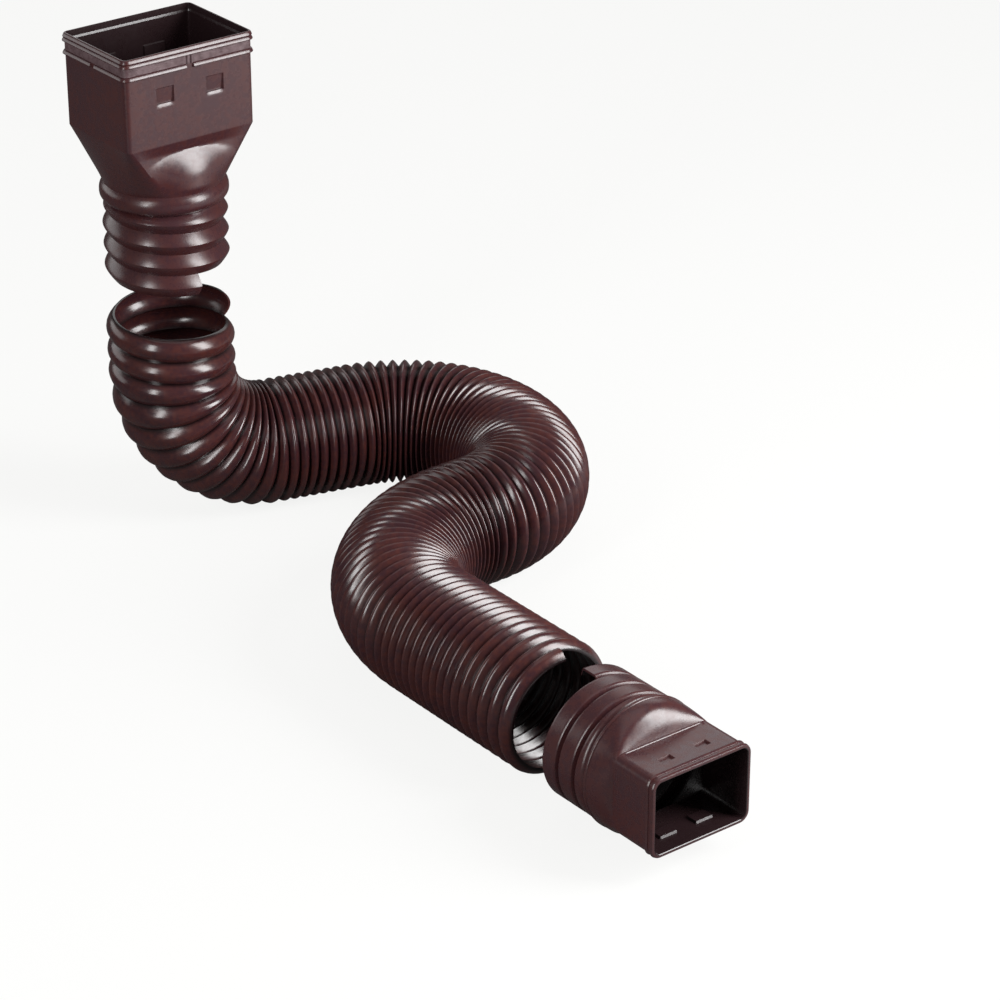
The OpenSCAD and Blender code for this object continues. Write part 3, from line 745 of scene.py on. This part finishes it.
class DOWNSPOUT_OT_upper_adapter(bpy.types.Operator):
    """Builds the upper adapter with its socket for the downspout"""
    bl_idname = "downspout.upper_adapter"
    bl_label = "Upper adapter"

    def execute(self, context):
        scene = context.scene
        size, fit, look = scene.downspout_socket, scene.downspout_fit, scene.downspout_finish
        plan = Layout(scene)
        wall = fit.wall
        width, depth = size.width + 2 * wall, size.depth + 2 * wall
        sill, ledge, slope, lean = 1.5 * MM, 1.8 * MM, 0.8 * MM, 0.7 * MM
        dimple_z = plan.upper_len - size.dimple_down
        half_w, half_h = size.dimple_w / 2, size.dimple_h / 2
        sill_z = dimple_z - half_h + sill
        gap_x, gap_y = 2.5 * MM, 2 * MM
        run, side = width / 2 - size.corner, depth / 2 - size.corner
        seam, gap_end = (1.4 * MM, 2.1 * MM), 0.6 * MM
        across = dimple_marks(size, slope)
        across += [s * m for s in (-1, 1)
                   for m in (1.0 * MM, *seam, gap_x, gap_x + gap_end, run)]
        upward = [s * m for s in (-1, 1) for m in (gap_y, gap_y + gap_end, side)]
        columns = rounded_columns(width, depth, size.corner,
                                  spaced(across, 4 * MM), spaced(upward, 4 * MM))

        def dent(point, way, z, grow):
            """Depth of the dimple at a point of the long sides."""
            x = abs(abs(point.x) - size.dimple_x)
            if abs(way.y) < 1 or not near(x, 0, half_w - slope + grow):
                return 0.0
            if near(z, dimple_z - half_h + ledge - grow, dimple_z + half_h - slope + grow):
                return size.dimple_depth + lean * min(max((dimple_z - z) / half_h, -1.0), 1.0)
            return lean if near(z, sill_z, sill_z) and not grow else 0.0

        def outer_relief(point, way, z, out):
            flat_x = abs(way.y) == 1 and near(abs(point.x), 0, gap_x)
            flat_y = abs(way.x) == 1 and near(abs(point.y), 0, gap_y)
            if low_rib - MM < z < low_rib + size.rib_h + TOUCH and (flat_x or flat_y):
                return 0.0
            if low_rib + size.rib_h < z < up_rib and flat_x:
                return seam_proud if near(abs(point.x), *seam) else out
            return out - dent(point, way, z, 0.0)

        def inner_relief(point, way, z, out):
            return out - dent(point, way, z, DIMPLE_GROWTH)

        def funnel_relief(point, way, z, out):
            """The long sides slope in under the crease and bulge out to the neck."""
            v = (z - funnel_z) / size.funnel_h
            if abs(way.y) < 1 or v > 0.999:
                return out
            across = abs(point.x / run)
            start = bulge_top - 0.2 * across ** 2
            rise = 1 - (1 - min(max((start - v) / bulge_run, 0.0), 1.0)) ** 1.8
            under = min((1 - v) / hollow_run, 1.0)
            bend = min(v / neck_run, 1.0) * (bulge * rise * (1 - across ** 2)
                                             - hollow * under * (1 - across ** 4))
            return out + bend / v

        bead_z = size.thread_h
        funnel_z = bead_z + size.bead_h
        socket_z = funnel_z + size.funnel_h
        up_rib = plan.upper_len - size.lip_h - size.rib_h
        low_rib = up_rib - size.band_h - size.rib_h
        top = plan.upper_len
        # Runs of the funnel's hollow, bulge and foot are shares of its height
        hollow, hollow_run = 3.4 * MM, 0.2
        bulge, bulge_top, bulge_run = 5.4 * MM, 0.8, 0.48
        neck_run = 0.12
        seam_proud = 1.3 * MM
        outer = []
        for i in range(15):
            q = i / 14
            base = plan.thread_root_r if q < 0.5 else plan.neck_r
            full = 1 - abs(2 * q - 1) ** 2.6
            outer.append((bead_z + 0.15 * MM + (size.bead_h - 0.15 * MM) * q, 0.0,
                          base + (plan.bead_r - base) * full))
        shares = [i / 36 for i in range(1, 36)] + [1 - 0.5 * MM / size.funnel_h, 1.0]
        outer += [(funnel_z + size.funnel_h * v, v, plan.neck_r, 0.0, funnel_relief)
                  for v in shares]
        dimple_rows = [dimple_z + t for t in (
            -half_h - DIMPLE_GROWTH, -half_h, -half_h + sill, -half_h + ledge, 0,
            half_h - slope, half_h, half_h + DIMPLE_EDGE, half_h + DIMPLE_GROWTH)]
        plain = spaced([socket_z, socket_z + 0.8 * MM, *dimple_rows, low_rib - 0.4 * MM],
                       7 * MM)[1:]
        outer += [(z, 1.0, 0.0, 0.0, outer_relief) for z in plain]
        band = (low_rib + size.rib_h + 0.2 * MM, up_rib - 0.2 * MM)
        outer += [(z, 1.0, 0.0, out, outer_relief) for z, out in (
            *rounded_rib(low_rib, low_rib + size.rib_h, size.rim_proud),
            *((z, 0.2 * MM) for z in band),
            *rounded_rib(up_rib, up_rib + size.rib_h, size.rim_proud))]
        lip = [(0.15, 0.9), (0.4, 1.45), (0.7, 1.5), (1.0, 1.4), (2.5, 0.7), (2.8, 0.45)]
        outer += [(up_rib + size.rib_h + a * MM, 1.0, 0.0, b * MM) for a, b in lip]
        outer += [(top - 0.15 * MM, 1.0, 0.0, 0.1 * MM), (top, 1.0, 0.0, -0.3 * MM)]
        eased = size.mouth_ease - wall
        inner = [(top, 1.0, 0.0, eased + 0.3 * MM), (top - 0.3 * MM, 1.0, 0.0, eased),
                 (up_rib + 1.9 * MM, 1.0, 0.0, eased), (up_rib + 1.6 * MM, 1.0, 0.0, eased),
                 (up_rib + 0.2 * MM, 1.0, 0.0, -wall), (up_rib, 1.0, 0.0, -wall)]
        inner_rows = [dimple_z + t for t in (
            -half_h - DIMPLE_GROWTH, -half_h + ledge - DIMPLE_GROWTH, -half_h,
            half_h - slope + DIMPLE_GROWTH, half_h + DIMPLE_GROWTH)]
        inner += [(z, 1.0, 0.0, -wall, inner_relief) for z in
                  spaced([socket_z, *inner_rows, up_rib], 7 * MM)[-2::-1]]
        inner += [(funnel_z + size.funnel_h * v, v, plan.neck_r - wall, -wall, funnel_relief)
                  for v in (i / 28 for i in range(27, 0, -1))]
        inner.append((funnel_z, 0.0, plan.neck_r - wall))
        inner += [(funnel_z - 1.5 * MM, 0.0, plan.bead_r - wall - 1 * MM),
                  (funnel_z - 4 * MM, 0.0, plan.bead_r - wall),
                  (bead_z + 5 * MM, 0.0, plan.bead_r - wall),
                  (bead_z + wall + 0.6 * MM, 0.0, plan.bead_r - wall - 2 * MM),
                  (bead_z + wall, 0.0, plan.thread_root_r - wall + 0.5 * MM),
                  (bead_z + 0.6 * MM, 0.0, plan.thread_root_r - wall)]
        mesh = lathe_adapter("upper_adapter_skin", plan, fit, size, columns, outer, inner,
                             (low_rib + size.rib_h - 0.1 * MM, up_rib + TOUCH))
        mesh.transform(plan.socket_place)
        mesh.materials.append(adapter_plastic(look))
        mesh.materials.append(moulded_plastic(
            "spark_eroded_polypropylene", look.band, look.adapter, 0.48,
            texture=0.25 * MM))
        link_piece("upper_adapter_skin", mesh, "upper_adapter")
        return {"FINISHED"}


class DOWNSPOUT_OT_lower_adapter(bpy.types.Operator):
    """Builds the lower adapter with its rectangular outlet"""
    bl_idname = "downspout.lower_adapter"
    bl_label = "Lower adapter"

    def execute(self, context):
        scene = context.scene
        size, fit, look = scene.downspout_outlet, scene.downspout_fit, scene.downspout_finish
        plan = Layout(scene)
        wall = fit.wall
        width, depth = size.width + 2 * wall, size.depth + 2 * wall
        slope, ledge = 0.6 * MM, 0.75 * MM
        dimple_z = plan.lower_len - size.dimple_in
        half_w, half_h = size.dimple_w / 2, size.dimple_h / 2
        run, side = width / 2 - size.corner, depth / 2 - size.corner
        across = dimple_marks(size, slope) + [-run, run]
        columns = rounded_columns(width, depth, size.corner, spaced(across, 4 * MM),
                                  spaced([-side, side], 4 * MM), steps=10)

        def dent(point, way, z, grow):
            """Depth of the dimple at a point of the long sides."""
            x = abs(abs(point.x) - size.dimple_x)
            inside = (abs(way.y) == 1 and near(x, 0, half_w - slope + grow)
                      and near(z, dimple_z - half_h + slope - grow,
                               dimple_z + half_h - ledge + grow))
            return size.dimple_depth if inside else 0.0

        def outer_relief(point, way, z, out):
            return out - dent(point, way, z, 0.0)

        def inner_relief(point, way, z, out):
            return out - dent(point, way, z, DIMPLE_GROWTH)

        def crease(point, way, z, out):
            """A fine raised line where the dome meets the flats."""
            return out if abs(way.y) == 1 else 0.0

        def fuller(share):
            """Relief that swells the dome in its middle."""
            def relief(point, way, z, out):
                end = min(abs(point.x) / run, 1.0) ** 2
                return out + abs(way.y) * (1 - share) ** 2 * swell * (1 - end)
            return relief

        def dome_rows(height):
            """Heights above the collar, each with its share of the rectangle."""
            full = 1 - math.sqrt(1 - arc ** 2)
            for i in range(19):
                v = math.sin(i / 18 * math.pi / 2)
                yield height * v, (1 - math.sqrt(1 - (arc * v) ** 2)) / full

        collar_z = size.thread_h
        dome_z = collar_z + size.collar_h
        outlet_z = dome_z + size.dome_h
        dome_r = plan.bead_r - 0.4 * MM
        arc = 0.94  # How far round a quarter circle the dome's profile goes
        swell = 12 * MM
        top = plan.lower_len
        outer = [(collar_z + a * MM, 0.0, plan.bead_r + b * MM) for a, b in (
            (0.1, -5.5), (0.3, -2.2), (0.6, -1.0), (1.1, -0.3), (1.8, 0.0), (2.6, 0.0),
            (3.2, -0.2), (3.7, -0.8), (3.9, -1.2))]
        outer += [(dome_z + 0.1 * MM + up, share, dome_r, 0.0, fuller(share))
                  for up, share in dome_rows(size.dome_h - 0.1 * MM)]
        dimple_rows = [dimple_z + t for t in (
            -half_h - DIMPLE_GROWTH, -half_h - DIMPLE_EDGE, -half_h, -half_h + slope,
            half_h - ledge, half_h, half_h + DIMPLE_EDGE)]
        rim_z = top - 3 * size.rib_h
        outer += [(outlet_z + a * MM, 1.0, 0.0, b * MM, crease)
                  for a, b in ((0.25, 0.45), (0.6, 0.6), (1.0, 0.45), (1.4, 0.0))]
        plain = spaced([outlet_z + 1.4 * MM, *dimple_rows, rim_z - 0.4 * MM], 5 * MM)[1:]
        outer += [(z, 1.0, 0.0, 0.0, outer_relief) for z in plain]
        outer += [(z, 1.0, 0.0, out) for z, out in (
            rounded_rib(rim_z, rim_z + size.rib_h, size.rib_proud)
            + rounded_rib(top - size.rib_h, top - 0.1 * MM, size.rib_proud))]
        outer.append((top, 1.0, 0.0, -0.3 * MM))
        inner = [(top, 1.0, 0.0, -wall + 0.4 * MM), (top - 0.4 * MM, 1.0, 0.0, -wall)]
        inner_rows = [dimple_z + t for t in (
            -half_h - DIMPLE_GROWTH, -half_h + slope - DIMPLE_GROWTH,
            half_h - ledge + DIMPLE_GROWTH, half_h + DIMPLE_GROWTH)]
        inner += [(z, 1.0, 0.0, -wall, inner_relief) for z in
                  spaced([outlet_z, *inner_rows, top - 0.4 * MM], 5 * MM)[-2::-1]]
        inner += [(dome_z + up, share, dome_r - wall, -wall, fuller(share))
                  for up, share in list(dome_rows(size.dome_h - wall))[-2::-1]]
        inner += [(collar_z + wall, 0.0, plan.bead_r - wall),
                  (collar_z + 0.9 * wall, 0.0, plan.thread_root_r - wall + 0.5 * MM),
                  (collar_z + 0.6 * MM, 0.0, plan.thread_root_r - wall)]
        mesh = lathe_adapter("lower_adapter_skin", plan, fit, size, columns, outer, inner)
        mesh.transform(plan.outlet_place)
        mesh.materials.append(adapter_plastic(look))
        link_piece("lower_adapter_skin", mesh, "lower_adapter")
        return {"FINISHED"}


# Stage

# Each with its place, the spot it points at, its size in metres and its watts
SOFTBOXES = (
    ("softbox_right", (0.75, -1.1, 0.8), (0, 0, 0.15), (0.62, 1.3), 46),
    ("softbox_left", (-1.55, -0.4, 0.7), (-0.05, 0.1, 0.2), (0.3, 1.2), 17),
    ("softbox_far_left", (-1.05, 1.85, 0.7), (-0.05, 0.1, 0.15), (1.6, 0.7), 7),
    ("softbox_back", (1.5, 2.2, 1.7), (0, 0, 0.05), (3.0, 1.2), 15.5),
    ("softbox_top", (0.1, 0.2, 2.3), (0, 0, 0), (1.8, 1.8), 7),
)


def softbox(name, place, aim, size, power):
    """A rectangular studio softbox that points at a spot."""
    lamp = bpy.data.lights.new(name, "AREA")
    lamp.shape = "RECTANGLE"
    lamp.size, lamp.size_y = size
    lamp.energy = power
    made = bpy.data.objects.new(name, lamp)
    made.location = place
    made.rotation_euler = (Vector(aim) - Vector(place)).to_track_quat("-Z", "Y").to_euler()
    made.visible_camera = False
    bpy.context.scene.collection.objects.link(made)


class DOWNSPOUT_OT_stage(bpy.types.Operator):
    """Adds the floor, the softboxes, the pale surroundings and the camera"""
    bl_idname = "downspout.stage"
    bl_label = "Stage and camera"

    def execute(self, context):
        scene = context.scene
        look = scene.downspout_finish
        reach = 15.0
        mesh = bpy.data.meshes.new("studio_floor")
        mesh.from_pydata([(-reach, -reach, 0), (reach, -reach, 0), (reach, reach, 0),
                          (-reach, reach, 0)], [], [(0, 1, 2, 3)])
        floor = bpy.data.objects.new("studio_floor", mesh)
        scene.collection.objects.link(floor)

        # Matt vinyl floor, which the camera sees almost white with its shadow
        vinyl = new_material("matt_vinyl_floor")
        tree = vinyl.node_tree
        place = add(tree, "ShaderNodeTexCoord").outputs["Object"]
        path = add(tree, "ShaderNodeLightPath").outputs
        grain = add(tree, "ShaderNodeTexNoise", {"Vector": place, "Scale": 1.3, "Detail": 2.0})
        tone = add(tree, "ShaderNodeMapRange", {
            "Value": grain, "To Min": 0.16, "To Max": 0.18})
        # Painted shade in reflections: as the object reflects it, the floor gets darker
        # to the left, as a black flag would make it, though there is none
        across = add(tree, "ShaderNodeVectorMath", {0: place, 1: (0.61, -0.79, 0)},
                     operation="DOT_PRODUCT").outputs["Value"]
        reflected_shade = add(tree, "ShaderNodeMapRange", {
            "Value": across, "From Min": 0.08, "From Max": 0.34,
            "To Min": 0.14, "To Max": 0.37})
        shown = add(tree, "ShaderNodeMix", {
            "Factor": path["Is Glossy Ray"], "A": tone, "B": reflected_shade})
        matt = add(tree, "ShaderNodeBsdfDiffuse", {"Color": shown})
        lit = add(tree, "ShaderNodeBsdfDiffuse", {"Color": tuple(look.floor)})
        glow = add(tree, "ShaderNodeEmission", {"Color": tuple(look.floor), "Strength": 1.0})
        seen = add(tree, "ShaderNodeMixShader", {0: 0.9, 1: lit, 2: glow})
        mix = add(tree, "ShaderNodeMixShader", {0: path["Is Camera Ray"], 1: matt, 2: seen})
        add(tree, "ShaderNodeOutputMaterial", {"Surface": mix})
        floor.data.materials.append(vinyl)

        world = bpy.data.worlds.new("studio")
        scene.world = world
        world.use_nodes = True
        tree = world.node_tree
        tree.nodes.clear()
        path = add(tree, "ShaderNodeLightPath").outputs
        direct = add(tree, "ShaderNodeMath", {
            0: path["Is Camera Ray"], 1: path["Is Transmission Ray"]}, operation="MAXIMUM")
        white = add(tree, "ShaderNodeBackground", {"Color": (1, 1, 1, 1), "Strength": 1.0})
        soft = add(tree, "ShaderNodeBackground", {"Color": (1, 1, 1, 1), "Strength": 0.12})
        mix = add(tree, "ShaderNodeMixShader", {0: direct, 1: soft, 2: white})
        add(tree, "ShaderNodeOutputWorld", {"Surface": mix})

        for box in SOFTBOXES:
            softbox(*box)

        # Fitted to the photo: its lens, the spot in the middle of the view, and the
        # camera's tilt, turn and distance from there
        camera = bpy.data.cameras.new("studio_camera")
        camera.sensor_width = 36
        camera.lens = 126.98
        camera.clip_end = 60
        seat = bpy.data.objects.new("studio_camera", camera)
        target = Vector((0.0369, 0.0622, 0.0596))
        tilt, turn, away = math.radians(26.686), math.radians(37.94), 2.6018
        back = Vector((-math.cos(tilt) * math.sin(turn), -math.cos(tilt) * math.cos(turn),
                       math.sin(tilt)))
        seat.location = target + away * back
        seat.rotation_euler = (-back).to_track_quat("-Z", "Y").to_euler()
        scene.collection.objects.link(seat)
        scene.camera = seat
        scene.view_settings.view_transform = "Standard"
        return {"FINISHED"}


class DOWNSPOUT_PT_panel(bpy.types.Panel):
    """Sizes, colours and the steps that build the downspout extension"""
    bl_label = "Downspout extension"
    bl_space_type = "VIEW_3D"
    bl_region_type = "UI"
    bl_category = "Downspout"

    def draw(self, context):
        for step in STEPS:
            self.layout.operator(step.bl_idname)
        for name in GROUPS:
            box = self.layout.box()
            box.label(text=GROUPS[name].__doc__)
            values = getattr(context.scene, name)
            for key in GROUPS[name].__annotations__:
                box.prop(values, key)


GROUPS = {
    "downspout_hose": HoseSizes,
    "downspout_route": RouteSizes,
    "downspout_fit": FitSizes,
    "downspout_socket": SocketSizes,
    "downspout_outlet": OutletSizes,
    "downspout_finish": Finishes,
}
STEPS = (DOWNSPOUT_OT_hose, DOWNSPOUT_OT_upper_adapter, DOWNSPOUT_OT_lower_adapter,
         DOWNSPOUT_OT_stage)
CLASSES = (*GROUPS.values(), *STEPS, DOWNSPOUT_PT_panel)


def register():
    for made in CLASSES:
        bpy.utils.register_class(made)
    for name, group in GROUPS.items():
        setattr(bpy.types.Scene, name, bpy.props.PointerProperty(type=group))


def unregister():
    for name in GROUPS:
        delattr(bpy.types.Scene, name)
    for made in reversed(CLASSES):
        bpy.utils.unregister_class(made)


def main():
    register()
    bpy.ops.downspout.hose()
    bpy.ops.downspout.upper_adapter()
    bpy.ops.downspout.lower_adapter()
    bpy.ops.downspout.stage()


if __name__ == "__main__":
    main()
